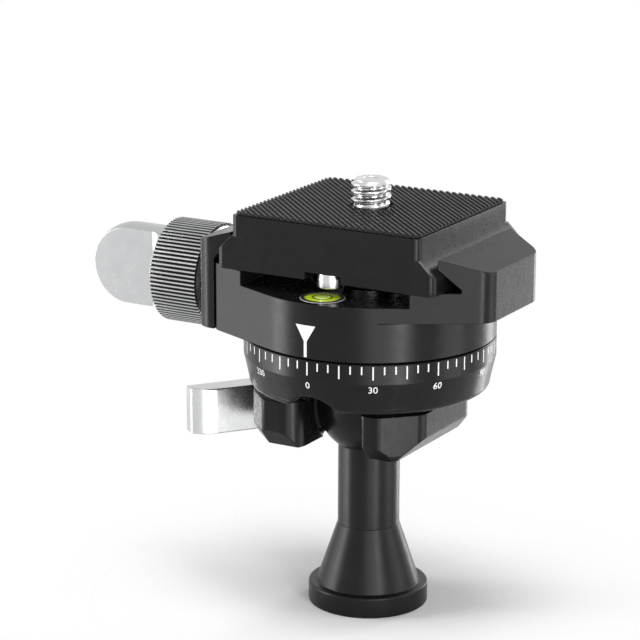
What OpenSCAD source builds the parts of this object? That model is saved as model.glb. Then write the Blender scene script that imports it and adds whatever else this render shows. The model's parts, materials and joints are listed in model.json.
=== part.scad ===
// Panoramic ball head: an inverted ball joint below, a panning dovetail clamp on top.
// Millimetres. The origin is the centre of the foot's underside and +Z is up.
// The index mark is at the front (-Y), the clamp knob at the left (-X).

/* [Foot and stem] */
// Diameter of the round foot
foot_d = 19.2; // [18.4:0.1:24]
// Thickness of the foot's rim
foot_h = 3.4; // [2.5:0.1:5]
// Chamfer at the edges of the foot's rim
foot_edge = 0.2; // [0.1:0.05:0.6]
// Diameter of the cone where it leaves the foot
cone_d = 16.6; // [14:0.1:17]
// Height of the cone's upper end above the table
cone_top = 13.3; // [12.5:0.1:16]
// Diameter of the stem
stem_d = 9.9; // [8.5:0.1:10.2]
// Length of the stem from the cone to the ball's centre
stem_len = 20.1; // [18:0.1:22]
// Diameter of the spigot that joins the stem to the foot
spigot_d = 6; // [4:0.1:7]
// Length of the spigot
spigot_len = 4; // [3:0.1:5]
// Outer diameter of the thread reducer, the large tripod thread
reducer_d = 9.525; // [9:0.005:10]
// Length of the thread reducer
reducer_len = 7.5; // [6:0.1:8.5]
// Diameter of the tapped hole in the reducer, the small tripod thread
tap_d = 5.1; // [5:0.05:6]

/* [Ball and socket] */
// Diameter of the ball
ball_d = 17; // [16.6:0.1:17.6]
// Thickness of the socket liner
liner_t = 0.8; // [0.5:0.05:1]
// Height that the liner reaches below the ball's centre
liner_reach = 4.2; // [3.5:0.1:4.6]
// Material left above the socket
roof_t = 2.2; // [2:0.1:3]
// Wall of the threaded plug round the socket
cap_wall = 1.6; // [1.2:0.1:2]
// Half width of the front notch for the stem
notch_r = 5.6; // [5.4:0.05:5.8]

/* [Scale ring and housing] */
// Diameter of the scale ring and the clamp disc
ring_d = 40; // [38.5:0.1:44]
// Height of the whole ring
ring_h = 8.4; // [8:0.1:9]
// Height of the straight band that carries the scale
band_h = 3.2; // [2.5:0.1:4]
// Diameter at the lower end of the ring's taper
taper_d = 38.2; // [37:0.1:38.4]
// Radius at the ring's lower edge
ring_round = 1.1; // [0.6:0.1:1.8]
// Chamfer at the ring's upper edge
ring_chamfer = 0.25; // [0.1:0.05:0.4]
// Height of the slit between ring and lobes
slit_h = 1.5; // [1:0.1:2]
// Diameter of the neck in the slit
neck_d = 23.4; // [22.6:0.1:24.5]
// Height that the lobes reach below the ball's centre
lobe_reach = 5.9; // [5.4:0.1:6.2]
// Distance from the axis to the lobes' front face
lobe_front = 12.9; // [12.4:0.1:13.6]
// Distance from the axis to the right lobe's side face
lobe_right = 13.7; // [13.2:0.1:14.6]
// Distance from the axis to the lobes' rear face
lobe_back = 12.1; // [11.8:0.1:12.8]
// Size of the plane across the left lobe's upright corner
left_corner = 4.2; // [3:0.1:5]
// Size of the plane across the right lobe's front corner
right_corner = 5.4; // [4:0.1:5.5]
// Size of the plane across the right lobe's rear corner
rear_corner = 4.2; // [3:0.1:5]
// Chamfer under the right lobe's side face
side_chamfer = 3.6; // [2.5:0.1:4]
// Chamfer under the front face of the lobes
front_chamfer = 2.6; // [1.5:0.1:2.8]
// Chamfer under the left lobe's corner plane
left_chamfer = 2.2; // [1:0.1:2.6]
// Chamfer under the right lobe's front corner plane
plane_chamfer = 1.1; // [0.6:0.1:2]
// Lean of the left lobe's lower facets
facet_lean = 32; // [25:1:45]
// Radius at the left lobe's upright edges
lobe_round = 1.2; // [0.6:0.1:1.6]
// Radius between the right lobe's corner planes and its other faces
plane_round = 2.6; // [1:0.1:2.8]
// Radius at the right lobe's edge of the notch
notch_round = 1.5; // [1:0.1:1.6]
// Extra width of the notch at the left lobe
notch_extra = 0.5; // [0:0.1:1]
// Radius at the left lobe's edge of the notch
left_round = 3.4; // [2:0.1:3.8]

/* [Ball lock] */
// Diameter of the stud that closes the ears
stud_d = 3; // [2.4:0.1:3.4]
// Wall between the stud's hole and the socket
stud_wall = 1.8; // [1.4:0.1:2.2]
// Wall between the stud's hole and the ear's outer face
ear_wall = 1.7; // [1.2:0.05:2]
// Distance from the axis to the rear ear's seat
ear_back = 5.9; // [5.4:0.1:6.2]
// Width of the gap between the ears
ear_gap = 1.2; // [0.8:0.1:1.6]
// Thickness of the cam's seat washer
cam_washer_t = 0.7; // [0.5:0.05:1]
// Radius of the cam
cam_r = 4; // [3.8:0.05:4.4]
// Offset of the cam from its pivot
cam_throw = 0.3; // [0.2:0.05:0.4]
// Height of the lever
lever_h = 7.6; // [6.4:0.1:8]
// Length of the lever from pivot to tip
lever_len = 25; // [22:0.1:30]
// Thickness of the lever's blade at the root
lever_root_t = 4; // [3.4:0.1:4.4]
// Thickness of the lever's blade at the tip
lever_tip_t = 2.3; // [1.6:0.1:3]
// Length of the curve at the blade's tip
tip_curve = 4; // [3:0.1:6]
// Offset of the lever's root, which clears the ear
root_shift = 2; // [1.8:0.1:2.2]
// Length of the offset root
root_len = 7.8; // [7:0.1:9]
// Length of the crank between root and blade
crank_len = 3.4; // [2.5:0.1:4]
// Direction of the closed lever, from the front towards the left
lever_angle = 37; // [35:0.5:42]
// Radius of the slot in the lever's fork
fork_r = 6; // [5.4:0.1:6.6]
// Diameter of the lever's pivot pin
pivot_d = 2.4; // [2:0.1:2.8]
// Thickness of the stud's eye
eye_t = 2.8; // [2:0.1:3.2]
// Wall of the stud's eye
eye_wall = 1.4; // [1:0.1:1.6]
// Length of the stud's thread in the front ear
stud_grip = 8; // [6:0.1:8.4]
// Distance from the ball's centre down to the stud
lever_drop = 3.3; // [2.9:0.1:3.5]
// Distance from the stud down to the middle of the lever
lever_sink = 0.4; // [0:0.1:0.6]

/* [Panning joint] */
// Gap between scale ring and clamp disc
pan_gap = 0.2; // [0.15:0.01:0.3]
// Diameter of the pan hub
hub_d = 14; // [12:0.1:15]
// Height of the pan hub above the ring
hub_h = 5; // [4:0.1:5.4]
// Diameter of the retaining disc
retainer_d = 18; // [17:0.1:20]
// Thickness of the retaining disc
retainer_t = 1.6; // [1:0.1:2]
// Thread diameter of the pan screw
pan_screw_d = 4; // [3:0.1:5]
// Head diameter of the pan screw
pan_head_d = 8.5; // [7:0.1:9]
// Head height of the pan screw
pan_head_h = 3.9; // [3.4:0.1:4.1]
// Across flats of the pan screw's socket
pan_socket = 4; // [3:0.5:5]
// Outer diameter of the lower sliding washer
washer_d = 33; // [28:0.5:35]
// Bore of the lower sliding washer
washer_bore = 16; // [15.5:0.1:20]
// Thickness of the lower sliding washer
washer_t = 0.8; // [0.5:0.05:1]
// Space for the upper sliding washer
ledge_gap = 0.3; // [0.25:0.05:0.5]

/* [Clamp body] */
// Height of the channel floor above the disc's underside
floor_h = 8.6; // [8:0.1:10]
// Depth of the channel below the plate's seat
channel_depth = 2.3; // [2:0.1:3]
// Width of the lands that carry the plate
land_w = 4.4; // [4:0.1:6]
// Height of the fixed jaw above the plate's seat
jaw_h = 5.2; // [4.8:0.1:6]
// Fall of the jaws' upper faces towards the outside
jaw_slope = 17; // [10:0.5:20]
// Overlap of the jaws' lips over the plate
lip_over = 0.85; // [0.4:0.05:1.2]
// Distance from the plate's edge to the root of the fixed jaw's undercut
undercut_depth = 2.3; // [1.6:0.1:3]
// Wall behind the fixed jaw's undercut
right_wall = 3.9; // [3.3:0.1:6]
// Corner radius at the right end
right_corner_r = 3.4; // [2.4:0.1:4]
// Half width between the corner centres at the right end
right_half = 6.4; // [5.5:0.1:7]
// Height of the right block's underside above the disc's underside
block_lift = 6.2; // [5:0.1:7]
// Distance from the plate's edge to the body's left end
left_over = 2; // [1.8:0.1:2.2]
// Corner radius at the left end
left_corner_r = 1; // [0.6:0.1:2]
// Half width between the corner centres at the left end
left_half = 12; // [11:0.1:12.4]

/* [Bubble level] */
// Outer diameter of the bubble level
level_d = 7; // [6:0.1:7.4]
// Depth of the bubble level's pocket
level_depth = 3; // [2:0.1:4]
// Distance from the disc's edge to the middle of the bubble level
level_inset = 4.7; // [4.4:0.1:5]
// Wall of the level's cup
level_wall = 0.4; // [0.3:0.05:0.8]
// Thickness of the cup's floor
level_floor = 0.6; // [0.3:0.05:0.8]

/* [Moving jaw and knob] */
// Gap between clamp body and moving jaw
jaw_gap = 0.3; // [0.3:0.05:0.8]
// Thickness of the moving jaw
jaw_t = 3.7; // [3.5:0.1:5]
// Half width of the moving jaw
jaw_half = 12.5; // [11:0.1:13]
// Radius at the moving jaw's outer corners
jaw_corner_r = 3; // [2:0.1:3.2]
// Diameter of the boss under the knob
boss_d = 9.8; // [8.5:0.1:9.9]
// Length of that boss
boss_len = 1.4; // [1:0.1:3]
// Diameter of the guide pins
guide_d = 3; // [2:0.1:3.4]
// Distance from the axis to each guide pin
guide_y = 8.2; // [7.5:0.1:9]
// Length of a guide pin
guide_len = 12; // [10:0.1:13]
// Length of a guide pin outside the body
guide_reach = 4.2; // [3.8:0.1:4.6]
// Wire diameter of the jaw springs
spring_wire = 0.5; // [0.4:0.05:0.6]
// Turns of a jaw spring
spring_turns = 4; // [3:1:5]
// Depth of the spring pockets in the body
spring_depth = 3; // [2:0.1:4]
// Height of the knob's axis above the disc's underside
knob_lift = 5.3; // [5:0.1:5.8]
// Diameter of the knurled ring
knob_d = 17; // [15:0.1:18]
// Length of the knurled ring
knob_len = 9.6; // [8:0.1:11]
// Chamfer at the ends of the knob's core
knob_edge = 0.5; // [0.3:0.1:0.8]
// Number of flutes round the knob
flutes = 78; // [60:1:90]
// Depth of the flutes
flute_depth = 0.4; // [0.2:0.05:0.5]
// Diameter of the thumb tab
tab_d = 13.6; // [11:0.1:14]
// Length of the thumb tab
tab_len = 14.5; // [12:0.1:18]
// Thickness of the thumb tab between its flats
tab_t = 5.2; // [4:0.1:7]
// Radius of the scoop where the flats end
scoop_r = 2.2; // [1:0.1:3]
// Thread diameter of the knob's screw
knob_screw_d = 5; // [4:0.1:5]
// Wall of the knob over the end of its screw
screw_wall = 1; // [0.6:0.1:2]
// Length of thread in the clamp body
knob_thread_len = 9; // [8:0.1:9.4]
// Thickness of the knob's washer
knob_washer_t = 0.5; // [0.3:0.05:0.8]
// Diameter of the knob's washer
knob_washer_d = 9.4; // [8:0.1:9.8]

/* [Quick-release plate] */
// Width across the plate's dovetail
plate_w = 38; // [37.8:0.05:38.2]
// Length of the plate
plate_len = 30.8; // [29:0.1:36]
// Height of the dovetail's upright edge
lip_h = 2.75; // [2.6:0.05:2.8]
// Width of the plate's 45 degree flanks
flank_w = 2.6; // [2.4:0.1:3]
// Height of the plate's upper block
block_h = 3.3; // [2.8:0.1:4]
// Radius at the plate's upright corners
plate_corner_r = 1.2; // [0.6:0.1:2]
// Thickness of the top pad
pad_t = 0.5; // [0.3:0.05:0.8]
// Distance from the plate's edge to the pad
pad_margin = 0.4; // [0.2:0.1:1]
// Spacing of the pad's diagonal ribs
rib_pitch = 0.81; // [0.7:0.01:1.6]
// Height of the ribs
rib_h = 0.25; // [0.1:0.05:0.25]
// Diameter of the camera screw
camera_screw_d = 6.3; // [6.1:0.05:6.35]
// Height of the camera screw above the pad
camera_screw_h = 4.3; // [3.5:0.1:6]
// Diameter of the camera screw's head
camera_head_d = 12; // [10:0.1:14]
// Height of the camera screw's head
camera_head_h = 3.2; // [2.4:0.1:3.6]
// Web of the plate that the camera screw passes through
web_t = 3.2; // [2.6:0.1:4]
// Diameter of the camera screw's thin shank
camera_shank_d = 5.5; // [5:0.1:5.6]
// Distance from the pad to the start of the camera screw's thread
thread_lift = 0.15; // [0.1:0.05:0.4]
// Thickness of the ring that keeps the camera screw
clip_t = 0.6; // [0.4:0.05:0.8]
// Diameter of that ring
clip_d = 9; // [8:0.1:10]
// Diameter of the stop pins
stop_d = 4.2; // [3:0.1:4.6]
// Distance from the plate's centre to each stop pin
stop_y = 12.7; // [12.4:0.1:13.2]
// Height of the stop pins below the plate
stop_h = 1.2; // [1:0.1:1.8]
// Width of the pockets over the stop pins
stop_pocket_w = 6.3; // [5.2:0.1:8]
// Height of the pockets over the stop pins
stop_pocket_h = 1.2; // [0.8:0.1:2]
// Length of those pockets from the plate's ends
stop_pocket_len = 5; // [5:0.1:6]
// Diameter of the stop pins' shanks
stop_shank_d = 2.4; // [2:0.1:2.8]
// Length of the stop pins' shanks
stop_shank_len = 2.6; // [2:0.1:3]

/* [Clearances] */
// Running clearance, all round, of shafts and of the ball
running = 0.05; // [0.02:0.01:0.08]
// Gap between flat pieces that rest on each other
seat_gap = 0.03; // [0.01:0.01:0.05]
// Clearance, all round, of screws in their holes
screw_play = 0.25; // [0.15:0.05:0.35]
// Clearance between moving pieces that don't touch
free_gap = 0.35; // [0.3:0.05:0.4]

/* [Hidden] */
$fn = 96;
eps = 0.01;
far = 60;

// Heights, from the table up
ball_r = ball_d / 2;
ball_z = cone_top + stem_len;
liner_r = ball_r + running + liner_t;
socket_r = liner_r + running;
ring_top = ball_z + socket_r + roof_t;
ring_bottom = ring_top - ring_h;
lobe_top = ring_bottom - slit_h;
lobe_bottom = ball_z - lobe_reach;
disc_bottom = ring_top + pan_gap;
block_bottom = disc_bottom + block_lift;
floor_z = disc_bottom + floor_h;
land_z = floor_z + channel_depth;
jaw_top = land_z + jaw_h;
plate_bottom = land_z + seat_gap;
shoulder_z = plate_bottom + lip_h;
block_z = shoulder_z + flank_w;
plate_top = block_z + block_h;
pad_top = plate_top + pad_t;
hub_top = ring_top + hub_h;
knob_z = disc_bottom + knob_lift;

// Places around the ball lock
ring_r = ring_d / 2;
stud_hole_r = stud_d / 2 + screw_play;
stud_x = -(socket_r + stud_wall + stud_hole_r);
lobe_left = -stud_x + stud_hole_r + ear_wall;
lever_mid = ball_z - lever_drop;
lever_bottom = lever_mid - lever_sink - lever_h / 2;
cam_reach = cam_r + cam_throw;
pivot_y = ear_back + cam_washer_t + cam_reach + seat_gap;
eye_r = pivot_d / 2 + eye_wall;
notch_left = notch_r + notch_extra;
ear_split = 0.9;
cap_lip = 0.6;
cap_r = socket_r + cap_wall;
cap_seat = ring_top - roof_t - cap_lip;
seat_edge = 0.4;
ear_seat_end = stud_x - stud_hole_r - seat_edge;

// Places across the clamp
lip_x = plate_w / 2 - lip_over;
undercut_x = plate_w / 2 + undercut_depth;
right_end = undercut_x + right_wall;
left_end = plate_w / 2 + left_over;
channel_w = plate_w - 2 * land_w;
block_w = plate_w - 2 * flank_w;
level_y = ring_r - level_inset;

// Places along the clamp screw
jaw_face = left_end + jaw_gap;
jaw_outer = jaw_face + jaw_t;
boss_end = jaw_outer + boss_len;
knob_inner = boss_end + knob_washer_t + 2 * seat_gap;
knob_outer = knob_inner + knob_len;
tab_r = tab_d / 2;
flute_step = 0.1;
knob_screw_end = left_end - knob_thread_len;
jaw_line = shoulder_z + plate_w / 2 + seat_gap * sqrt(2);

// Places in the panning joint
ledge_z = hub_top - ledge_gap;
counterbore_r = retainer_d / 2 + screw_play;

black = [0.05, 0.05, 0.055];
silver = [0.82, 0.82, 0.84];
satin = [0.66, 0.67, 0.68];

// Shapes that repeat

// A cylinder from z0 to z1
module rod(d, z0, z1) {
    translate([0, 0, z0]) cylinder(d = d, h = z1 - z0);
}

// A ring from z0 to z1
module tube(d_out, d_in, z0, z1) {
    difference() {
        rod(d_out, z0, z1);
        rod(d_in, z0 - 1, z1 + 1);
    }
}

// A cylinder along -X, from the distance x0 to x1 left of the axis
module left_rod(d, x0, x1, y = 0) {
    translate([-x0, y, knob_z]) rotate([0, -90, 0]) cylinder(d = d, h = x1 - x0);
}

// The half space beyond a leaning plane that undercuts a face at distance d, from height z down
module undercut(azimuth, d, z, lean = 45) {
    rotate(azimuth) translate([d, 0, z]) rotate([0, lean, 0]) translate([0, -far / 2, -far / 2])
        cube(far);
}

// A rectangle with round corners
module round_rect(w, l, r) {
    square([w - 2 * r, l], center = true);
    square([w, l - 2 * r], center = true);
    for (x = [-1, 1], y = [-1, 1])
        translate([x * (w / 2 - r), y * (l / 2 - r)]) circle(r);
}

// A convex outline, counterclockwise, with a radius for each corner
function normal(a, b) = [b[1] - a[1], a[0] - b[0]] / norm(b - a);
module rounded(points, radii) {
    n = len(points);
    normals = [for (i = [0 : n - 1]) normal(points[i], points[(i + 1) % n])];
    before = [for (i = [0 : n - 1]) normals[(i + n - 1) % n]];
    centres = [for (i = [0 : n - 1])
        points[i] - radii[i] * (before[i] + normals[i]) / (1 + before[i] * normals[i])];
    polygon([for (i = [0 : n - 1]) each radii[i] == 0 ? [points[i]]
        : [centres[i] + radii[i] * before[i], centres[i] + radii[i] * normals[i]]]);
    for (i = [0 : n - 1]) if (radii[i] > 0) translate(centres[i]) circle(radii[i]);
}

// Direction of the line that touches the big circle of radius R and a small one at c
function tangent_angle(R, r, c) = atan2(c[1], c[0]) + acos((R - r) / norm(c));
function along(a, r) = r * [cos(a), sin(a)];

// The outline from the disc to two round corners at x = cx, y = +-cy
module fan(R, r, cx, cy) {
    a = tangent_angle(R, r, [cx, cy]);
    side = [along(a, R), [cx, cy] + along(a, r)];
    end = [cx + sign(cx) * r, cy];
    polygon([[0, 0], side[0], side[1], [cx, cy], end, [end[0], -cy], [cx, -cy],
        [side[1][0], -side[1][1]], [side[0][0], -side[0][1]]]);
    for (s = [-1, 1]) translate([cx, s * cy]) circle(r);
}

module left_outline() {
    difference() {
        circle(ring_r);
        translate([-left_end - far, -far]) square([far, 2 * far]);
    }
    mirror([1, 0]) fan(ring_r, left_corner_r, left_end - left_corner_r, left_half);
}

module whole_outline() {
    left_outline();
    fan(ring_r, right_corner_r, right_end - right_corner_r, right_half);
}

// A shape drawn in X and Z, made far long in Y
module across(points) {
    rotate([90, 0, 0]) linear_extrude(far, center = true) polygon(points);
}

// Foot and ball

module base_foot() {
    rim_r = foot_d / 2;
    cone_r = cone_d / 2;
    color(black) difference() {
        rotate_extrude() polygon([[0, 0], [rim_r - foot_edge, 0], [rim_r, foot_edge],
            [rim_r, foot_h - foot_edge], [rim_r - foot_edge, foot_h], [cone_r, foot_h],
            [stem_d / 2, cone_top], [0, cone_top]]);
        rod(reducer_d, -1, reducer_len + free_gap);
        rod(spigot_d + 2 * running, reducer_len, cone_top + 1);
    }
}

module thread_reducer() {
    slot_w = 1;
    slot_depth = 1;
    color(satin) difference() {
        rod(reducer_d - 2 * seat_gap, 0, reducer_len);
        rod(tap_d, -1, reducer_len + 1);
        translate([-far / 2, -slot_w / 2, slot_depth - far]) cube([far, slot_w, far]);
    }
}

module ball_stem() {
    color(black) {
        rod(spigot_d, cone_top - spigot_len, cone_top + 1);
        rod(stem_d, cone_top, ball_z);
        translate([0, 0, ball_z]) sphere(ball_r);
    }
}

// The way of the stem from straight down to straight forward
module stem_way(r) {
    translate([0, 0, ball_z]) {
        rotate([90, 0, 0]) cylinder(r = r, h = far);
        rotate([180, 0, 0]) cylinder(r = r, h = far);
        translate([-r, -far, -far]) cube([2 * r, far, far]);
    }
}

// The notch's extra width at the left lobe
module left_way() {
    translate([-notch_left, -far, 0]) cube([notch_left, far, lobe_top + eps]);
}

module ball_liner() {
    color(black) difference() {
        translate([0, 0, ball_z]) sphere(liner_r);
        translate([0, 0, ball_z]) sphere(ball_r + running);
        translate([0, 0, ball_z - liner_reach - far / 2]) cube(far, center = true);
        stem_way(notch_r);
        left_way();
    }
}

// Housing

module ring_profile() {
    low_r = taper_d / 2;
    low_z = ring_bottom + ring_round;
    polygon([[0, ring_bottom], [low_r - ring_round, ring_bottom], [low_r - ring_round, low_z],
        [low_r, low_z], [ring_r, ring_top - band_h], [ring_r, ring_top - ring_chamfer],
        [ring_r - ring_chamfer, ring_top], [0, ring_top]]);
    translate([low_r - ring_round, low_z]) circle(ring_round);
}

// Left lobe, with the ears of the ball lock
module left_lobe_outline() {
    c = left_corner;
    lever_clear = 2.6;
    rounded([[-notch_left, -lobe_front], [-notch_left, ear_back], [ear_seat_end, ear_back],
        [-lobe_left, ear_back - lever_clear], [-lobe_left, c - lobe_front], [c - lobe_left, -lobe_front]],
        [left_round, 0, 0, 0, lobe_round, lobe_round]);
}

// Right lobe and the rear wall, which ends before the cam
module right_lobe_outline() {
    c = right_corner;
    b = rear_corner;
    r = plane_round;
    rear_end = stud_x + cam_reach + 1;
    rounded([[notch_r, -lobe_front], [lobe_right - c, -lobe_front], [lobe_right, c - lobe_front],
        [lobe_right, lobe_back - b], [lobe_right - b, lobe_back], [rear_end, lobe_back], [rear_end, 0]],
        [notch_round, r, r, r, r, 0, 0]);
}

// An outline over the height of the lobes
module lobe_block() {
    translate([0, 0, lobe_bottom]) linear_extrude(lobe_top - lobe_bottom) children();
}

module lobes() {
    chamfer_z = lobe_bottom + front_chamfer;
    left_d = (lobe_left + lobe_front - left_corner) / sqrt(2);
    right_d = (lobe_right + lobe_front - right_corner) / sqrt(2);
    difference() {
        union() {
            difference() {
                lobe_block() left_lobe_outline();
                undercut(-90, lobe_front, chamfer_z, facet_lean);
                undercut(-135, left_d, lobe_bottom + left_chamfer, facet_lean);
            }
            difference() {
                lobe_block() right_lobe_outline();
                undercut(-90, lobe_front, chamfer_z);
                undercut(-45, right_d, lobe_bottom + plane_chamfer);
            }
            lobe_block() circle(socket_r + stud_wall);
        }
        undercut(0, lobe_right, lobe_bottom + side_chamfer);
        left_way();
        translate([stud_x, pivot_y, 0]) cylinder(r = cam_reach + free_gap, h = far);
        translate([stud_x, ear_back, lever_mid]) rotate([-90, 0, 0]) cylinder(r = cam_reach, h = far);
    }
}

module housing() {
    color(black) difference() {
        union() {
            rotate_extrude() ring_profile();
            rod(neck_d, lobe_top - eps, ring_bottom + 1);
            lobes();
        }
        translate([0, 0, ball_z]) sphere(socket_r);
        rod(2 * socket_r, ball_z, ring_top + 1);
        rod(2 * cap_r, cap_seat, ring_top + 1);
        stem_way(notch_r);
        translate([-far, ear_split, lobe_bottom - 1]) cube([far, ear_gap, ring_bottom - lobe_bottom + 1]);
        translate([stud_x, ear_back + 1, lever_mid]) rotate([90, 0, 0])
            cylinder(r = stud_hole_r, h = ear_back + 1 - ear_split);
        translate([stud_x, ear_split + 1, lever_mid]) rotate([90, 0, 0])
            cylinder(d = stud_d + 2 * seat_gap, h = stud_grip + 1);
    }
}

module socket_cap() {
    color(satin) difference() {
        union() {
            rod(2 * (cap_r - seat_gap), cap_seat, ring_top);
            rod(hub_d, ring_top - 1, hub_top);
        }
        translate([0, 0, ball_z]) sphere(socket_r);
        rod(pan_screw_d + 2 * seat_gap, ring_top - free_gap, hub_top + 1);
    }
}

module pan_washer() {
    color("white") tube(washer_d, washer_bore, ring_top, ring_top + washer_t);
}

module pan_retainer() {
    color(satin) tube(retainer_d, pan_screw_d + 2 * screw_play, hub_top, hub_top + retainer_t);
}

module retainer_washer() {
    color("white") tube(retainer_d, hub_d + 2 * screw_play, ledge_z + seat_gap, hub_top - seat_gap);
}

module pan_screw() {
    head_z = hub_top + retainer_t;
    socket_depth = pan_head_h / 2;
    color(satin) difference() {
        union() {
            rod(pan_head_d, head_z, head_z + pan_head_h);
            rod(pan_screw_d, ring_top, head_z + 1);
        }
        translate([0, 0, head_z + pan_head_h - socket_depth])
            cylinder(d = pan_socket / cos(30), h = far, $fn = 6);
    }
}

// Ball lock

module clamp_stud() {
    color(satin) translate([stud_x, 0, lever_mid]) difference() {
        union() {
            translate([0, pivot_y, 0]) rotate([90, 0, 0])
                cylinder(d = stud_d, h = pivot_y + stud_grip - ear_split - free_gap);
            translate([0, pivot_y, -eye_t / 2]) cylinder(r = eye_r, h = eye_t);
        }
        translate([0, pivot_y, -far / 2]) cylinder(d = pivot_d + 2 * running, h = far);
    }
}

module cam_washer() {
    color(satin) translate([stud_x, ear_back + cam_washer_t, lever_mid]) rotate([90, 0, 0]) difference() {
        cylinder(r = eye_r, h = cam_washer_t);
        translate([0, 0, -1]) cylinder(r = stud_hole_r, h = cam_washer_t + 2);
    }
}

// Cam, offset root and blade, along -Y; the blade's near face curves in at the tip
module lever_outline() {
    half = lever_root_t / 2;
    thinner = lever_root_t - lever_tip_t;
    curve_r = (tip_curve * tip_curve + thinner * thinner) / (2 * thinner);
    blade = root_len + crank_len;
    translate(cam_throw * [sin(lever_angle), -cos(lever_angle)]) circle(cam_r);
    polygon([[-half - root_shift, 0], [-half - root_shift, -root_len], [-half, -blade],
        [-half, tip_curve - lever_len], [half, tip_curve - lever_len], [half, -blade],
        [half - root_shift, -root_len], [half - root_shift, 0]]);
    intersection() {
        translate([-half, -lever_len]) square([lever_root_t, tip_curve + 1]);
        translate([half - curve_r, tip_curve - lever_len]) circle(curve_r);
    }
}

module lever() {
    color(silver) translate([stud_x, pivot_y, lever_bottom]) rotate(-lever_angle) difference() {
        linear_extrude(lever_h) lever_outline();
        translate([0, 0, -1]) cylinder(d = pivot_d + 2 * seat_gap, h = far);
        translate([0, 0, (lever_h - eye_t) / 2 + lever_sink - free_gap])
            cylinder(r = fork_r, h = eye_t + 2 * free_gap);
    }
}

module lever_pin() {
    color(satin) translate([stud_x, pivot_y, 0]) rod(pivot_d, lever_bottom, lever_bottom + lever_h);
}

// Clamp

module clamp_body() {
    land_left = -left_end;
    outer_z = jaw_top - (right_end - lip_x) * tan(jaw_slope);
    pocket_d = guide_d + 2 * (spring_wire + 2 * screw_play);
    color(black) difference() {
        union() {
            translate([0, 0, disc_bottom]) linear_extrude(block_lift) left_outline();
            intersection() {
                translate([0, 0, block_bottom - eps]) linear_extrude(far) whole_outline();
                across([[land_left - 1, block_bottom - 1], [land_left - 1, land_z], [undercut_x, land_z],
                    [undercut_x, jaw_line - undercut_x], [lip_x, jaw_line - lip_x], [lip_x, jaw_top],
                    [right_end, outer_z], [right_end + 1, outer_z], [right_end + 1, block_bottom - 1]]);
            }
        }
        translate([-channel_w / 2, -far, floor_z]) cube([channel_w, 2 * far, far]);
        rod(hub_d + 2 * running, 0, floor_z + 1);
        rod(2 * counterbore_r, ledge_z, floor_z + 1);
        rod(washer_d + 2 * screw_play, 0, ring_top + washer_t + seat_gap);
        translate([0, -level_y, 0]) rod(level_d + 2 * seat_gap, floor_z - level_depth, floor_z + 1);
        left_rod(knob_screw_d + 2 * running, knob_screw_end - free_gap, far);
        for (s = [-1, 1]) {
            left_rod(guide_d + 2 * seat_gap, left_end - guide_len + guide_reach, far, s * guide_y);
            left_rod(pocket_d, left_end - spring_depth, far, s * guide_y);
        }
    }
}

module guide_pins() {
    color(satin) for (s = [-1, 1])
        left_rod(guide_d, left_end - guide_len + guide_reach, left_end + guide_reach, s * guide_y);
}

module level_cup() {
    color("white") translate([0, -level_y, 0]) difference() {
        rod(level_d, floor_z - level_depth, floor_z);
        rod(level_d - 2 * level_wall, floor_z - level_depth + level_floor, floor_z + 1);
    }
}

module level_lens() {
    color("yellowgreen") translate([0, -level_y, 0])
        rod(level_d - 2 * level_wall - 2 * seat_gap, floor_z - level_depth + level_floor, floor_z);
}

// Points of a coil along +Z: one ring of the wire every eighth of a turn
function coil_ring(i, n, r, len, wire) = [for (k = [0 : 5])
    let (a = 360 * i / n, b = 60 * k, out = r + wire * cos(b))
    [out * cos(a), out * sin(a), len * i / (n * spring_turns) + wire * sin(b)]];

module coil(r, wire, len) {
    n = 12;
    rings = n * spring_turns;
    points = [for (i = [0 : rings]) each coil_ring(i, n, r, len, wire)];
    sides = [for (i = [0 : rings - 1], k = [0 : 5])
        each [[6 * i + k, 6 * i + (k + 1) % 6, 6 * i + 6 + k],
            [6 * i + (k + 1) % 6, 6 * i + 6 + (k + 1) % 6, 6 * i + 6 + k]]];
    start = [for (k = [1 : 4]) [0, k + 1, k]];
    stop = [for (k = [1 : 4]) [6 * rings, 6 * rings + k, 6 * rings + k + 1]];
    polyhedron(points, concat(sides, start, stop));
}

module jaw_springs() {
    wire = spring_wire / 2;
    len = jaw_gap + spring_depth - 2 * wire - 4 * seat_gap;
    color(satin) for (s = [-1, 1])
        translate([-(left_end - spring_depth + wire + 2 * seat_gap), s * guide_y, knob_z])
            rotate([0, -90, 0]) coil(guide_d / 2 + wire + screw_play, wire, len);
}

// Moving jaw and knob

module jaw_outline() {
    r = jaw_corner_r;
    translate([r - jaw_outer, -jaw_half]) square([jaw_outer - r - lip_x, 2 * jaw_half]);
    translate([-jaw_outer, r - jaw_half]) square([jaw_outer - lip_x, 2 * (jaw_half - r)]);
    for (s = [-1, 1]) translate([r - jaw_outer, s * (jaw_half - r)]) circle(r);
}

module moving_jaw() {
    outer_z = jaw_top - (jaw_outer - lip_x) * tan(jaw_slope);
    color(black) difference() {
        union() {
            intersection() {
                linear_extrude(far * 2) jaw_outline();
                across([[-jaw_face, disc_bottom], [-jaw_face, jaw_line - jaw_face],
                    [-lip_x, jaw_line - lip_x], [-lip_x, jaw_top],
                    [-jaw_outer - 1, outer_z - tan(jaw_slope)], [-jaw_outer - 1, disc_bottom]]);
            }
            left_rod(boss_d, jaw_outer - 1, boss_end);
        }
        left_rod(knob_screw_d + 2 * screw_play, 0, far);
        for (s = [-1, 1]) left_rod(guide_d + 2 * running, 0, far, s * guide_y);
    }
}

// Outline of the fluted ring
module flute_outline() {
    r = knob_d / 2;
    step = 360 / flutes;
    polygon([for (i = [0 : flutes - 1])
        each [along(i * step, r - flute_depth), along((i + 0.3) * step, r), along((i + 0.7) * step, r)]]);
}

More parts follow.
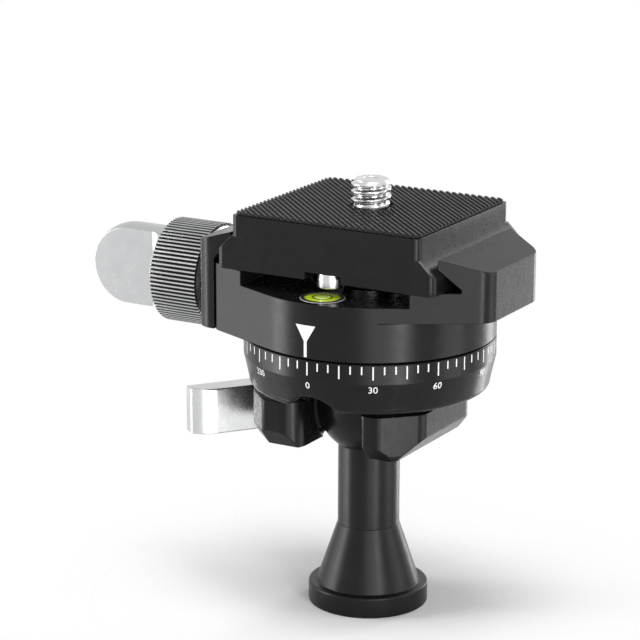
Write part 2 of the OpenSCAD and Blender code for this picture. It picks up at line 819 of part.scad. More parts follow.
// Round body of the knob, a chamfered core and a domed tab, along +Z
module knob_round() {
    r = knob_d / 2 - flute_depth - flute_step;
    tab_end = knob_len + tab_len;
    rotate_extrude() {
        polygon([[0, 0], [r - knob_edge, 0], [r, knob_edge], [r, knob_len - knob_edge],
            [r - knob_edge, knob_len], [0, knob_len]]);
        translate([0, knob_len - 1]) square([tab_r, tab_len - tab_r + 1]);
        intersection() {
            translate([0, tab_end - tab_r]) circle(tab_r);
            square([tab_r, tab_end + 1]);
        }
    }
}

// What is milled off one side of the tab
module tab_cut() {
    start = knob_len + knob_edge;
    translate([tab_t / 2 + scoop_r, start + scoop_r]) circle(scoop_r);
    translate([tab_t / 2, start + scoop_r]) square(far);
    translate([tab_t / 2 + scoop_r, start]) square(far);
}

module clamp_knob() {
    color(satin) translate([-knob_inner, 0, knob_z]) rotate([0, -90, 0]) difference() {
        union() {
            knob_round();
            translate([0, 0, knob_edge]) linear_extrude(knob_len - 2 * knob_edge) flute_outline();
        }
        for (s = [0, 1]) mirror([0, s, 0]) rotate([90, 0, 90]) linear_extrude(far, center = true) tab_cut();
        translate([0, 0, -1]) cylinder(d = knob_screw_d + 2 * seat_gap, h = 1 + knob_len - screw_wall);
    }
}

module knob_screw() {
    color(satin) left_rod(knob_screw_d, knob_screw_end, knob_outer - screw_wall - free_gap);
}

module knob_washer() {
    color("white") translate([-(boss_end + seat_gap), 0, knob_z]) rotate([0, -90, 0])
        tube(knob_washer_d, knob_screw_d + 2 * screw_play, 0, knob_washer_t);
}

// Quick-release plate

module plate() {
    half = plate_w / 2;
    top_half = block_w / 2;
    head_top = plate_top - web_t;
    shank_top = plate_bottom + stop_pocket_h + stop_shank_len + free_gap;
    color(black) difference() {
        union() {
            translate([0, 0, plate_bottom]) linear_extrude(lip_h)
                round_rect(plate_w, plate_len, plate_corner_r);
            intersection() {
                across([[-half, shoulder_z - eps], [half, shoulder_z - eps], [half, shoulder_z],
                    [top_half, block_z], [-top_half, block_z], [-half, shoulder_z]]);
                linear_extrude(far * 2) round_rect(plate_w, plate_len, plate_corner_r);
            }
            translate([0, 0, block_z - eps]) linear_extrude(block_h + eps)
                round_rect(block_w, plate_len, plate_corner_r);
        }
        rod(camera_screw_d + 2 * screw_play, 0, far * 2);
        rod(camera_head_d + 2 * free_gap, 0, head_top);
        rod(clip_d + 2 * free_gap, plate_top - clip_t - 2 * seat_gap, far * 2);
        for (s = [-1, 1]) {
            translate([-stop_pocket_w / 2, s * plate_len / 2 - stop_pocket_len, plate_bottom - 1])
                cube([stop_pocket_w, 2 * stop_pocket_len, stop_pocket_h + 1]);
            translate([0, s * stop_y, 0]) rod(stop_shank_d, plate_bottom, shank_top);
        }
    }
}

module plate_pad() {
    w = block_w - 2 * pad_margin;
    l = plate_len - 2 * pad_margin;
    ribs = ceil((w + l) / sqrt(8) / rib_pitch);
    color(black) difference() {
        translate([0, 0, plate_top]) {
            linear_extrude(pad_t - rib_h) round_rect(w, l, plate_corner_r);
            linear_extrude(pad_t) intersection() {
                round_rect(w, l, plate_corner_r);
                rotate(-45) for (i = [-ribs : ribs])
                    translate([0, i * rib_pitch]) square([far, rib_pitch / 2], center = true);
            }
        }
        rod(camera_screw_d + 2 * screw_play, 0, far * 2);
    }
}

module stop_pins() {
    seat = plate_bottom + stop_pocket_h;
    color(silver) for (s = [-1, 1]) translate([0, s * stop_y, 0]) {
        rod(stop_d, plate_bottom - stop_h, seat);
        rod(stop_shank_d - 2 * seat_gap, seat - stop_pocket_h / 2, seat + stop_shank_len);
    }
}

module camera_screw() {
    head_top = plate_top - web_t - seat_gap;
    thread_z = pad_top + thread_lift;
    tip = 0.6;
    slot_w = 1.4;
    slot_depth = 1.4;
    color(silver) difference() {
        union() {
            rod(camera_head_d, head_top - camera_head_h, head_top);
            rod(camera_shank_d, head_top - 1, thread_z + 1);
            rod(camera_screw_d, thread_z, pad_top + camera_screw_h - tip);
            translate([0, 0, pad_top + camera_screw_h - tip])
                cylinder(d1 = camera_screw_d, d2 = camera_screw_d - 2 * tip, h = tip);
        }
        translate([-far / 2, -slot_w / 2, head_top - camera_head_h - 1])
            cube([far, slot_w, 1 + slot_depth]);
    }
}

module screw_clip() {
    color(satin) tube(clip_d, camera_shank_d + 2 * seat_gap, plate_top - clip_t, plate_top - seat_gap);
}

base_foot();
thread_reducer();
ball_stem();
ball_liner();
housing();
socket_cap();
pan_washer();
pan_retainer();
retainer_washer();
pan_screw();
clamp_stud();
cam_washer();
lever();
lever_pin();
clamp_body();
guide_pins();
level_cup();
level_lens();
jaw_springs();
moving_jaw();
clamp_knob();
knob_screw();
knob_washer();
plate();
plate_pad();
stop_pins();
camera_screw();
screw_clip();
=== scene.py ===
"""Looks of the panoramic ball head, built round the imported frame. Sizes are written in millimetres."""

import json
import math

import bmesh
import bpy
from mathutils import Matrix, Vector

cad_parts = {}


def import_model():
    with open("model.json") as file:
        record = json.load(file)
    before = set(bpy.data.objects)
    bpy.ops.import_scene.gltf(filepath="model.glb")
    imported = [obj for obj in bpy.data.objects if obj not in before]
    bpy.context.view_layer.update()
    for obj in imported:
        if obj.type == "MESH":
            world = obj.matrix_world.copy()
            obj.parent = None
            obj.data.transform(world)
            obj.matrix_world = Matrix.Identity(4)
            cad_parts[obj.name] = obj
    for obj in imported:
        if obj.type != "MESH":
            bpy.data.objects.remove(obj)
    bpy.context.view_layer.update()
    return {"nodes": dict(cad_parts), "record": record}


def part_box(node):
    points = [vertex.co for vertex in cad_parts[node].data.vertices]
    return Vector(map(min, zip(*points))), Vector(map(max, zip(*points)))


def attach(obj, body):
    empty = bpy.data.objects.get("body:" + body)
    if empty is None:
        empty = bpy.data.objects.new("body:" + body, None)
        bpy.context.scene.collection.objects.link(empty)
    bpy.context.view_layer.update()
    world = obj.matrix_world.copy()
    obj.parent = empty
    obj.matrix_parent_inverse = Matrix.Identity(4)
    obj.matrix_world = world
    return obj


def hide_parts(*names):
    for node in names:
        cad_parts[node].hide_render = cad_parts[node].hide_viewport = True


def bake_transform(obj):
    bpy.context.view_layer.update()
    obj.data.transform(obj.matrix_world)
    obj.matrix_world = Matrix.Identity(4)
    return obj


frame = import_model()

MM = 0.001
NODE_BODY = {n: b for b, names in frame["record"]["behaviour"]["bodies"].items() for n in names}

# Sizes shared with the solids
RING_R = 20.0
BAND_LOW = 41.8
BAND_HIGH = 44.75
TAPER_R = 19.1
TAPER_Z = 37.7
LEVEL_Y = -15.3
FLOOR_Z = 53.8
PAD_TOP = 65.28
SCREW_UP = 4.3
BLOCK_Z = 61.48
KNOB_Z = 50.5
GUIDE_Y = 8.2
GUIDE_R = 1.5

# Edges that lie this near to a height count as lying at it
LEVEL_PLAY = 0.02


# Materials

def shader_tree(mat):
    """A material's node tree, emptied but for the surface shader and the output."""
    mat.use_nodes = True
    tree = mat.node_tree
    tree.nodes.clear()
    out = tree.nodes.new("ShaderNodeOutputMaterial")
    shader = tree.nodes.new("ShaderNodeBsdfPrincipled")
    tree.links.new(shader.outputs[0], out.inputs["Surface"])
    return tree, shader, out


def texture(tree, kind, scale, detail=2.0, bands=None):
    """A texture in the part's own coordinates, in cycles or cells per metre."""
    coord = tree.nodes.new("ShaderNodeTexCoord")
    tex = tree.nodes.new(kind)
    tree.links.new(coord.outputs["Object"], tex.inputs["Vector"])
    tex.inputs["Scale"].default_value = scale
    tex.inputs["Detail"].default_value = detail
    if bands:
        tex.bands_direction = bands
        tex.inputs["Distortion"].default_value = 1.5
        tex.inputs["Detail Scale"].default_value = 0.2
    return tex.outputs["Fac"] if "Fac" in tex.outputs else tex.outputs[0]


def ramp(tree, source, low, high):
    """The source's middle part stretched between two values or two colours."""
    begin, end = 0.3, 0.7
    if isinstance(low, tuple):
        node = tree.nodes.new("ShaderNodeValToRGB")
        for element, place, colour in zip(node.color_ramp.elements, (begin, end), (low, high)):
            element.position = place
            element.color = (*colour, 1)
    else:
        node = tree.nodes.new("ShaderNodeMapRange")
        for name, value in (("From Min", begin), ("From Max", end), ("To Min", low), ("To Max", high)):
            node.inputs[name].default_value = value
    tree.links.new(source, node.inputs[0])
    return node.outputs[0]


def bump(tree, height, strength, depth):
    """A relief from a texture, with its depth in millimetres."""
    node = tree.nodes.new("ShaderNodeBump")
    node.inputs["Strength"].default_value = strength
    node.inputs["Distance"].default_value = depth * MM
    tree.links.new(height, node.inputs["Height"])
    return node


def surface(name, dark, light, rough, metallic=0.0, specular=0.5, tone=260, grain=(5200, 0.06),
            turned=None, coat=0.0):
    """A finish with uneven tone and gloss, a fine grain, and turning marks where they are asked for.

    grain is a scale and a strength; turned is the axis, the scale and the strength of the marks.
    """
    mat = bpy.data.materials.new(name)
    tree, shader, _ = shader_tree(mat)
    shader.inputs["Metallic"].default_value = metallic
    shader.inputs["Specular IOR Level"].default_value = specular
    shader.inputs["Coat Weight"].default_value = coat
    shader.inputs["Coat Roughness"].default_value = 0.08
    cloud = texture(tree, "ShaderNodeTexNoise", tone, 4.0)
    tree.links.new(ramp(tree, cloud, dark, light), shader.inputs["Base Color"])
    gloss = texture(tree, "ShaderNodeTexNoise", tone * 2.3, 3.0)
    tree.links.new(ramp(tree, gloss, *rough), shader.inputs["Roughness"])
    grain_scale, grain_strength = grain
    relief = bump(tree, texture(tree, "ShaderNodeTexNoise", grain_scale), grain_strength, 0.02)
    if turned:
        axis, turn_scale, turn_strength = turned
        wave = texture(tree, "ShaderNodeTexWave", turn_scale, bands=axis)
        marks = bump(tree, wave, turn_strength, 0.01)
        tree.links.new(relief.outputs[0], marks.inputs["Normal"])
        relief = marks
    tree.links.new(relief.outputs[0], shader.inputs["Normal"])
    return mat


TURN = 2600
black_a, black_b = (0.0035, 0.0035, 0.0038), (0.0055, 0.0055, 0.0059)
black = surface("black_blasted", black_a, black_b, (0.24, 0.30), specular=0.2)
black_turned = surface("black_turned", black_a, black_b, (0.29, 0.35), specular=0.2,
                       turned=("Z", TURN, 0.05))
satin = surface("grey_satin", (0.445, 0.45, 0.455), (0.465, 0.47, 0.475), (0.25, 0.28), 1.0,
                turned=("X", TURN, 0.06))
# Painted shade and painted reflection: a near-black copy of the knob's grey for the sides of its flutes
knurl_painted_shade = surface("grey_knurl_painted_shade", (0.06, 0.061, 0.063), (0.09, 0.091, 0.093), (0.30, 0.38), 1.0)
polished = surface("alloy_polished", (0.55, 0.555, 0.56), (0.59, 0.595, 0.60), (0.24, 0.29), 1.0,
                   grain=(2600, 0.03))
steel = surface("steel_turned", (0.56, 0.56, 0.57), (0.66, 0.66, 0.67), (0.20, 0.28), 1.0,
                turned=("Z", TURN, 0.08))
# Near-black steel, used on the guide pins
dark_steel = surface("steel_dark", (0.018, 0.018, 0.019), (0.028, 0.028, 0.029), (0.30, 0.38), 1.0)
spring_steel = surface("steel_spring", (0.42, 0.42, 0.43), (0.52, 0.52, 0.53), (0.24, 0.32), 1.0)
acetal = surface("liner_white", (0.70, 0.69, 0.66), (0.78, 0.77, 0.74), (0.38, 0.46), tone=400)
socket_black = surface("socket_black", (0.016, 0.016, 0.016), (0.024, 0.024, 0.024), (0.38, 0.46),
                       specular=0.3)
rubber = surface("pad_black", (0.008, 0.008, 0.008), (0.013, 0.013, 0.013), (0.38, 0.46), specular=0.12,
                 grain=(3800, 0.2))
rim_white = surface("level_rim", (0.62, 0.63, 0.58), (0.72, 0.73, 0.68), (0.28, 0.36), tone=500)
fluid = surface("level_fluid", (0.60, 0.80, 0.03), (0.72, 0.88, 0.05), (0.10, 0.16), tone=300, coat=0.6)
fluid_light = surface("level_bubble", (0.62, 0.82, 0.16), (0.70, 0.88, 0.24), (0.06, 0.10), tone=300,
                      coat=0.8)
print_black = surface("print_black", (0.012, 0.014, 0.008), (0.020, 0.022, 0.014), (0.30, 0.38))
print_white = surface("print_white", (0.80, 0.80, 0.79), (0.86, 0.86, 0.85), (0.48, 0.58), tone=700)


# Pieces made from the solids

def settle(piece, body, mat, replaced=()):
    """Puts a finished piece on its body, with its finish and the solids that it stands for."""
    piece.data.materials.clear()
    piece.data.materials.append(mat)
    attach(piece, body)
    if replaced:
        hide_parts(*replaced)
    return piece


def new_object(name, bm, smooth=True):
    """An object from a bmesh drawn in millimetres."""
    bmesh.ops.recalc_face_normals(bm, faces=bm.faces)
    mesh = bpy.data.meshes.new(name)
    bm.to_mesh(mesh)
    bm.free()
    mesh.transform(Matrix.Scale(MM, 4))
    mesh.polygons.foreach_set("use_smooth", [smooth] * len(mesh.polygons))
    piece = bpy.data.objects.new(name, mesh)
    bpy.context.scene.collection.objects.link(piece)
    return piece


def lies_at(points, z):
    """Whether all the points lie at one height."""
    return all(abs(p.co.z - z * MM) < LEVEL_PLAY * MM for p in points)


def weigh(mesh, angle, sharp_z):
    """Marks the edges to round: the sharp ones, but for those that lie at one height."""
    bm = bmesh.new()
    bm.from_mesh(mesh)
    weight = bm.edges.layers.float.new("bevel_weight_edge")
    for edge in bm.edges:
        is_sharp = edge.calc_face_angle(0) > math.radians(angle)
        edge[weight] = float(is_sharp and not lies_at(edge.verts, sharp_z))
    bm.to_mesh(mesh)
    bm.free()


def soften(piece, width, sharp_z=None, angle=30):
    """Small rounds on the sharp edges; with no width the edges stay crisp."""
    if width:
        bevel = piece.modifiers.new("edges", "BEVEL")
        bevel.width = width * MM
        bevel.segments = 2
        bevel.limit_method = "ANGLE"
        bevel.angle_limit = math.radians(angle)
        if sharp_z:
            weigh(piece.data, angle, sharp_z)
            bevel.limit_method = "WEIGHT"
        bevel.use_clamp_overlap = False
        bevel.miter_outer = "MITER_ARC"
    else:
        piece.data.set_sharp_from_angle(angle=math.radians(angle))
    normals = piece.modifiers.new("normals", "WEIGHTED_NORMAL")
    normals.keep_sharp = True
    normals.weight = 50


def solid_of(node):
    """A bmesh of a solid in millimetres, with its flat faces whole."""
    source = frame["nodes"][node].data
    bm = bmesh.new()
    points = [bm.verts.new(v.co / MM) for v in source.vertices]
    for poly in source.polygons:
        try:
            bm.faces.new([points[i] for i in poly.vertices])
        except ValueError:
            continue
    bmesh.ops.remove_doubles(bm, verts=bm.verts, dist=0.002)
    bmesh.ops.dissolve_degenerate(bm, edges=bm.edges, dist=0.001)
    bmesh.ops.dissolve_limit(bm, angle_limit=math.radians(0.4), verts=bm.verts, edges=bm.edges)
    return bm


def crease(mesh, z):
    """Keeps the edges at one height crisp."""
    for edge in mesh.edges:
        if lies_at([mesh.vertices[i] for i in edge.vertices], z):
            edge.use_edge_sharp = True


def dress(node, mat, width, sharp_z=None, crease_z=None):
    """A solid with its edges broken and its own finish."""
    piece = new_object(node + "_finish", solid_of(node))
    if crease_z:
        crease(piece.data, crease_z)
    soften(piece, width, sharp_z)
    return settle(piece, NODE_BODY[node], mat, [node])


def knurl(knob):
    """The sides of the flutes are darker than their crests: painted shade and painted reflection in the
    grooves.
    """
    flute_low, flute_high, facing_end = 0.42, 0.08, 0.3
    knob.data.materials.append(knurl_painted_shade)
    crest = max(math.hypot(v.co.y, v.co.z - KNOB_Z * MM) for v in knob.data.vertices)
    for poly in knob.data.polygons:
        spot = poly.center
        below = crest - math.hypot(spot.y, spot.z - KNOB_Z * MM)
        # Flute sides get the darker copy, as painted shade
        if abs(poly.normal.x) < facing_end and flute_high * MM < below < flute_low * MM:
            poly.material_index = 1


dress("base_foot", black_turned, 0.13)
dress("thread_reducer", steel, 0.08)
dress("ball_stem", black_turned, 0)
dress("ball_liner", socket_black, 0)
dress("housing", black, 0.14, crease_z=BAND_LOW)
dress("socket_cap", black, 0.1)
dress("pan_washer", acetal, 0)
dress("pan_retainer", steel, 0.08)
dress("retainer_washer", acetal, 0)
dress("pan_screw", steel, 0.1)
dress("clamp_stud", steel, 0)
dress("cam_washer", steel, 0.06)
dress("lever", polished, 0.25)
dress("lever_pin", steel, 0.12)
dress("clamp_body", black, 0.14)
dress("guide_pins", dark_steel, 0.2)
dress("level_cup", rim_white, 0.06)
dress("moving_jaw", black, 0.14)
knurl(dress("clamp_knob", satin, 0.05))
dress("knob_washer", socket_black, 0.05)
dress("plate", black, 0.14, sharp_z=BLOCK_Z)
dress("plate_pad", rubber, 0.05)
dress("stop_pins", steel, 0.2)
dress("screw_clip", steel, 0.05)


# Rings of points and the faces between them

def ring(r, z, steps=48, centre=(0, 0)):
    """Points round a vertical axis."""
    turns = [2 * math.pi * i / steps for i in range(steps)]
    return [Vector((centre[0] + r * math.cos(a), centre[1] + r * math.sin(a), z)) for a in turns]


def grid(bm, rows):
    """Faces between rings of points."""
    made = [[bm.verts.new(p) for p in row] for row in rows]
    for low, high in zip(made, made[1:]):
        for i in range(len(low)):
            j = (i + 1) % len(low)
            bm.faces.new([low[i], low[j], high[j], high[i]])
    return made


def capped_grid(bm, rows):
    """A closed shape: faces between rings, and over the first and the last."""
    made = grid(bm, rows)
    bm.faces.new(made[0])
    bm.faces.new(made[-1])


# Threads

def thread_rows(major, minor, pitch, start, stop, lead, steps=48, slices=14):
    """Rings of a screw thread along +Z that runs out at both ends."""
    first_height, tooth_top, flank = 0.15, 1.5, 3.6
    count = round((stop - start) / pitch * slices)
    rows = []
    for k in range(count + 1):
        z = start + (stop - start) * k / count
        edge = min(z - start, stop - z)
        crest = minor + (major - minor) * min(1.0, first_height + edge / lead)
        row = []
        for i in range(steps):
            turn = i / steps
            phase = (z / pitch - turn) % 1.0
            tooth = max(0.0, min(1.0, tooth_top - abs(phase - 0.5) * flank))
            r = minor + (crest - minor) * tooth
            row.append(Vector((r * math.cos(2 * math.pi * turn), r * math.sin(2 * math.pi * turn), z)))
        rows.append(row)
    return rows


def camera_screw():
    """Head with its slot and shank as in the solid, and a cut thread above the pad."""
    major, minor, pitch, lead = 3.15, 2.55, 1.27, 0.7
    sunk = 0.05
    cut = PAD_TOP + 0.02
    top = PAD_TOP + SCREW_UP
    bm = solid_of("camera_screw")
    every = bm.verts[:] + bm.edges[:] + bm.faces[:]
    bmesh.ops.bisect_plane(bm, geom=every, plane_co=(0, 0, cut), plane_no=(0, 0, 1), clear_outer=True)
    bmesh.ops.holes_fill(bm, edges=[e for e in bm.edges if e.is_boundary])
    rows = [ring(2.2, cut - sunk), ring(minor, cut - sunk)]
    rows += thread_rows(major, minor, pitch, cut, top - sunk, lead)
    rows += [ring(2.45, top), ring(1.3, top), ring(1.2, top - 0.1), ring(1.1, top - 0.15)]
    capped_grid(bm, rows)
    piece = new_object("camera_screw_thread", bm)
    soften(piece, 0)
    return settle(piece, "camera_screw", steel, ["camera_screw"])


def knob_screw():
    """The clamp screw: a thread from its tip, and a plain end in the knob."""
    major, minor, pitch, lead = 2.5, 2.1, 0.8, 0.4
    steps, slices = 32, 8
    plain = 9.9
    low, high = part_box("knob_screw")
    length = (high.x - low.x) / MM
    rows = [ring(1.9, 0, steps), ring(minor, 0.01, steps)]
    rows += thread_rows(major, minor, pitch, 0.02, length - plain - 0.1, lead, steps, slices)
    rows += [ring(major, length - plain, steps), ring(major, length, steps)]
    bm = bmesh.new()
    capped_grid(bm, rows)
    bm.transform(Matrix.Translation((high.x / MM, 0, KNOB_Z)) @ Matrix.Rotation(math.radians(-90), 4, "Y"))
    piece = new_object("knob_screw_thread", bm)
    soften(piece, 0)
    return settle(piece, "knob", steel, ["knob_screw"])


camera_screw()
knob_screw()


# Springs

def coil_rows(start, length, centre_y, radius, wire):
    """Rings of wire along a coil that winds towards -X."""
    turns, steps, sides = 4, 28, 10
    rows = []
    for k in range(turns * steps + 1):
        a = 2 * math.pi * k / steps
        x = start - length * k / (turns * steps)
        row = []
        for i in range(sides):
            b = 2 * math.pi * i / sides
            out = radius + wire * math.cos(b)
            row.append(Vector((x + wire * math.sin(b), centre_y + out * math.cos(a),
                               KNOB_Z + out * math.sin(a))))
        rows.append(row)
    return rows


def springs():
    """Two round wire coils over the guide pins, drawn at their length in the solid."""
    wire = 0.25
    radius = GUIDE_R + wire + 0.25
    low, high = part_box("jaw_springs")
    start = high.x / MM - wire
    length = (high.x - low.x) / MM - 2 * wire
    bm = bmesh.new()
    for side in (-1, 1):
        capped_grid(bm, coil_rows(start, length, side * GUIDE_Y, radius, wire))
    piece = new_object("jaw_spring_coils", bm)
    piece.data.materials.append(spring_steel)
    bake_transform(piece)
    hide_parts("jaw_springs")
    return piece


springs()


# Bubble level

def lathe(bm, profile, centre, steps=64):
    """A turned shape from (radius, height) pairs; the ends are closed."""
    capped_grid(bm, [ring(r, z, steps, centre) for r, z in profile])


def lathe_ring(bm, inner, outer, z, centre, steps=64):
    """A thin raised ring."""
    profile = [(inner, z - 0.04), (inner, z + 0.015), (outer, z + 0.005), (outer, z - 0.04)]
    made = grid(bm, [ring(r, h, steps, centre) for r, h in profile])
    for i in range(steps):
        j = (i + 1) % steps
        bm.faces.new([made[-1][i], made[-1][j], made[0][j], made[0][i]])


def level_fluid(centre):
    """The fluid under its slightly domed lens."""
    r = 2.9
    bm = bmesh.new()
    lathe(bm, [(r, FLOOR_Z - 2.4), (r, FLOOR_Z - 0.12), (r - 0.05, FLOOR_Z - 0.06), (r * 0.8, FLOOR_Z),
               (r * 0.55, FLOOR_Z + 0.04), (r * 0.3, FLOOR_Z + 0.06), (0.1, FLOOR_Z + 0.07)], centre)
    lens = new_object("level_fluid", bm)
    soften(lens, 0)
    settle(lens, "clamp", fluid, ["level_lens"])


def level_rings(centre):
    """The printed circle for the bubble, and the dark bezel."""
    bm = bmesh.new()
    for inner, outer in ((1.36, 1.62), (2.80, 3.42)):
        lathe_ring(bm, inner, outer, FLOOR_Z + 0.05, centre)
    settle(new_object("level_ring", bm), "clamp", print_black)


def level_bubble(centre):
    """The bubble, a little out of the middle."""
    z = FLOOR_Z + 0.055
    bm = bmesh.new()
    lathe(bm, [(1.05, z - 0.03), (1.05, z), (0.98, z + 0.03), (0.8, z + 0.05), (0.4, z + 0.06),
               (0.05, z + 0.06)], (centre[0] + 0.12, centre[1] - 0.05), 40)
    settle(new_object("level_bubble", bm), "clamp", fluid_light)


level_centre = (0, LEVEL_Y)
level_fluid(level_centre)
level_rings(level_centre)
level_bubble(level_centre)


# Scale, numbers and index mark

PRINT_UP = 0.02
PRINT_DOWN = 0.06
FRONT = -90


def on_band(azimuth, across, z, out):
    """A point on the ring's band, a distance to the side of an azimuth."""
    a = math.radians(azimuth) + across / RING_R
    r = RING_R + out
    return Vector((r * math.cos(a), r * math.sin(a), z))


def patch(bm, azimuth, rows, columns):
    """A print on the band from rows of (height, half width), a little proud and sunk in at its edge."""
    top, low = [[[bm.verts.new(on_band(azimuth, half * (2 * c / columns - 1), z, out))
                  for c in range(columns + 1)] for z, half in rows] for out in (PRINT_UP, -PRINT_DOWN)]
    for layer, way in ((top, 1), (low, -1)):
        for lower, upper in zip(layer, layer[1:]):
            for c in range(columns):
                bm.faces.new([lower[c], lower[c + 1], upper[c + 1], upper[c]][::way])
    for outer, inner in ((top[0], low[0]), (top[-1][::-1], low[-1][::-1]),
                         ([r[-1] for r in top], [r[-1] for r in low]),
                         ([r[0] for r in top][::-1], [r[0] for r in low][::-1])):
        for i in range(len(outer) - 1):
            bm.faces.new([outer[i], inner[i], inner[i + 1], outer[i + 1]])


def printed(name, bm, body):
    """A white print with flat faces."""
    return settle(new_object(name, bm, smooth=False), body, print_white)


def scale_ticks():
    """A tick every 5 degrees, and a longer one every 15."""
    step, half = 5, 0.11
    long_low, short_low, high = 42.6, 43.42, BAND_HIGH - 0.08
    bm = bmesh.new()
    for i in range(360 // step):
        low = long_low if i % 3 == 0 else short_low
        patch(bm, FRONT + step * i, [(low, half), (high, half)], 1)
    return printed("scale_ticks", bm, "housing")


def digits(number, height):
    """A mesh of a number, in millimetres, in the XY plane and centred on its foot."""
    cap_height = 0.70
    curve = bpy.data.curves.new("digits", "FONT")
    curve.body = str(number)
    curve.size = height / cap_height
    curve.align_x = "CENTER"
    curve.extrude = 0.05
    curve.offset = 0.008
    curve.resolution_u = 4
    text = bpy.data.objects.new("digits", curve)
    bpy.context.scene.collection.objects.link(text)
    bpy.context.view_layer.update()
    mesh = bpy.data.meshes.new_from_object(text.evaluated_get(bpy.context.evaluated_depsgraph_get()))
    bpy.data.objects.remove(text)
    bpy.data.curves.remove(curve)
    return mesh


def numerals():
    """A number every 30 degrees, wrapped on the ring's taper."""
    step, height, drop, sunk = 30, 1.08, 0.83, 0.03
    slope = math.atan2(RING_R - TAPER_R, BAND_LOW - TAPER_Z)
    bm = bmesh.new()
    for number in range(0, 360, step):
        mesh = digits(number, height)
        azimuth = math.radians(FRONT + number)
        for v in mesh.vertices:
            down = drop + height / 2 - v.co.y
            out = v.co.z - sunk
            r = RING_R - down * math.sin(slope) + out * math.cos(slope)
            z = BAND_LOW - down * math.cos(slope) - out * math.sin(slope)
            a = azimuth + v.co.x / r
            v.co = (r * math.cos(a), r * math.sin(a), z)
        bm.from_mesh(mesh)
        bpy.data.meshes.remove(mesh)
    return printed("scale_numbers", bm, "housing")


def index_mark():
    """A line with a wedge over it, on the clamp's disc; the clamp is panned a little to the left."""
    azimuth = FRONT - 0.9
    line, wedge = 0.25, 1.72
    bm = bmesh.new()
    patch(bm, azimuth, [(45.45, line), (47.95, line), (50.45, wedge)], 10)
    return printed("index_mark", bm, "clamp")


scale_ticks()
numerals()
index_mark()


# Floor, light and camera

def floor():
    """A round pale floor that fades out."""
    bm = bmesh.new()
    made = grid(bm, [ring(r, 0, 96) for r in (1, 20, 40, 60, 90)])
    bm.faces.new(made[0])
    obj = new_object("floor", bm)
    mat = bpy.data.materials.new("floor_pale")
    tree, shader, out = shader_tree(mat)
    shader.inputs["Base Color"].default_value = (0.95, 0.95, 0.95, 1)
    shader.inputs["Roughness"].default_value = 0.9
    shader.inputs["Specular IOR Level"].default_value = 0.1
    coord = tree.nodes.new("ShaderNodeTexCoord")
    length = tree.nodes.new("ShaderNodeVectorMath")
    length.operation = "LENGTH"
    tree.links.new(coord.outputs["Object"], length.inputs[0])
    fade = tree.nodes.new("ShaderNodeMapRange")
    fade.interpolation_type = "SMOOTHSTEP"
    fade.inputs["From Min"].default_value = 14 * MM
    fade.inputs["From Max"].default_value = 60 * MM
    tree.links.new(length.outputs["Value"], fade.inputs["Value"])
    clear = tree.nodes.new("ShaderNodeBsdfTransparent")
    mix = tree.nodes.new("ShaderNodeMixShader")
    tree.links.new(fade.outputs["Result"], mix.inputs["Fac"])
    tree.links.new(shader.outputs[0], mix.inputs[1])
    tree.links.new(clear.outputs[0], mix.inputs[2])
    tree.links.new(mix.outputs[0], out.inputs["Surface"])
    obj.data.materials.append(mat)


def lamp(name, azimuth, elevation, distance, width, height, radiance):
    """A soft box that faces the object; its power follows from its area and radiance."""
    data = bpy.data.lights.new(name, "AREA")
    data.shape = "RECTANGLE"
    data.size = width
    data.size_y = height
    data.energy = math.pi * width * height * radiance
    obj = bpy.data.objects.new(name, data)
    bpy.context.scene.collection.objects.link(obj)
    a, e = math.radians(azimuth), math.radians(elevation)
    target = Vector((0, 0, 0.04))
    way = Vector((math.cos(a) * math.cos(e), math.sin(a) * math.cos(e), math.sin(e)))
    obj.location = target + way * distance
    obj.rotation_euler = way.to_track_quat("Z", "Y").to_euler()
    obj.visible_camera = False


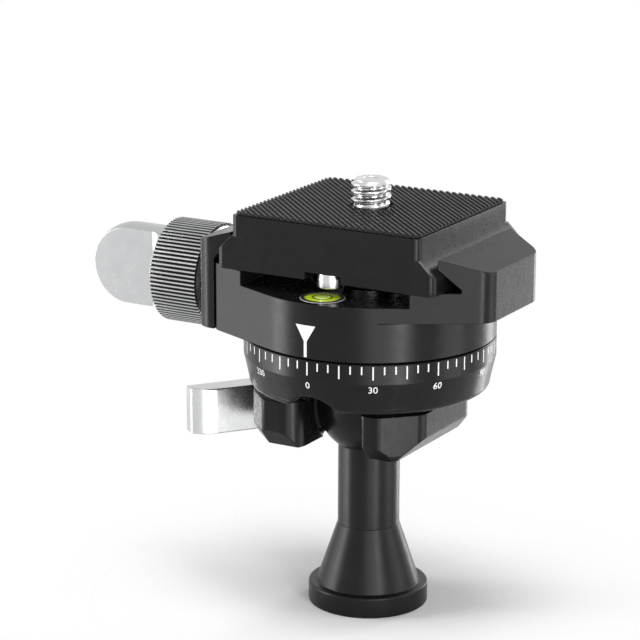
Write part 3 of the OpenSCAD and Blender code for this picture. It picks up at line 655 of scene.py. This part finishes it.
def world():
    """White to the camera, mirrors and glass; a plain even light to the rest."""
    made = bpy.data.worlds.new("studio")
    bpy.context.scene.world = made
    made.use_nodes = True
    tree = made.node_tree
    tree.nodes.clear()
    out = tree.nodes.new("ShaderNodeOutputWorld")
    back = tree.nodes.new("ShaderNodeBackground")
    path = tree.nodes.new("ShaderNodeLightPath")
    seen = path.outputs["Is Camera Ray"]
    for other in ("Is Glossy Ray", "Is Transmission Ray"):
        either = tree.nodes.new("ShaderNodeMath")
        either.operation = "MAXIMUM"
        tree.links.new(seen, either.inputs[0])
        tree.links.new(path.outputs[other], either.inputs[1])
        seen = either.outputs[0]
    strength = tree.nodes.new("ShaderNodeMapRange")
    strength.inputs["To Min"].default_value = 0.2
    strength.inputs["To Max"].default_value = 1.0
    tree.links.new(seen, strength.inputs["Value"])
    tree.links.new(strength.outputs["Result"], back.inputs["Strength"])
    back.inputs["Color"].default_value = (1, 1, 1, 1)
    tree.links.new(back.outputs[0], out.inputs["Surface"])


def camera():
    """The photograph's own view, fitted to its outlines."""
    place = Vector((199.46, -366.78, 159.64))
    right = Vector((0.86876, 0.49521, 0.00370))
    up = Vector((-0.13252, 0.22527, 0.96524))
    back = Vector((0.47716, -0.83906, 0.26133))
    data = bpy.data.cameras.new("camera")
    data.sensor_width = 36
    data.sensor_fit = "HORIZONTAL"
    data.lens = 154.03
    data.clip_start = 0.01
    data.clip_end = 20
    obj = bpy.data.objects.new("camera", data)
    bpy.context.scene.collection.objects.link(obj)
    turn = Matrix((right, up, back)).transposed()
    obj.matrix_world = Matrix.Translation(place * MM) @ turn.to_4x4()
    bpy.context.scene.camera = obj


# Name, azimuth and elevation in degrees, distance, width and height in metres, radiance
LAMPS = (
    ("left_core", -150, 4, 0.6, 0.12, 0.75, 7),
    ("left_wide", -157, 4, 0.62, 0.40, 0.75, 2.6),
    ("right_core", -34, 4, 0.6, 0.12, 0.75, 6),
    ("right_wide", -46, 4, 0.62, 0.46, 0.75, 2.6),
    ("right_side", 17, 4, 0.62, 0.30, 0.75, 2),
    ("back", 76, 4, 0.6, 0.16, 0.75, 5),
    ("top", -60, 82, 0.8, 0.30, 0.30, 9),
)

floor()
for values in LAMPS:
    lamp(*values)
world()
camera()
bpy.context.scene.view_settings.view_transform = "Standard"
